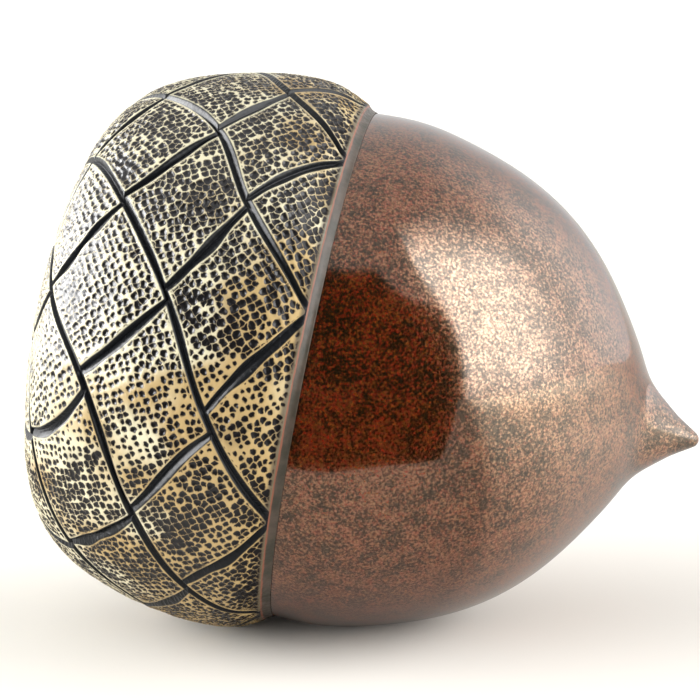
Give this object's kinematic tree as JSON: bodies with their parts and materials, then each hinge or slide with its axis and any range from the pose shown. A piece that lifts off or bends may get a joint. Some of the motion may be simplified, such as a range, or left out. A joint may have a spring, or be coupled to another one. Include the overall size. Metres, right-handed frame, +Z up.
{
  "type": "ornamental acorn",
  "caption": "Large glazed ceramic acorn lying on its side: a cup carved with a lattice of grooves and a smooth nut with a pointed tip.",
  "frame": {"origin": "on the surface the acorn lies on, under the middle of its bounding box", "axes": "+Z up; +X along the acorn as it lies, towards the nut's pointed tip, which is the lower end; -Y is the front"},
  "size_m": [0.2174, 0.1814, 0.1802],
  "materials": {
    "cup_glaze": "glossy golden and cream glaze broken dark over pricked pits, with smooth dark grey grooves",
    "nut_glaze": "high gloss speckled copper brown over dark olive grey"
  },
  "bodies": {
    "root": {"cup": "cup_glaze", "nut": "nut_glaze"}
  },
  "joints": []
}
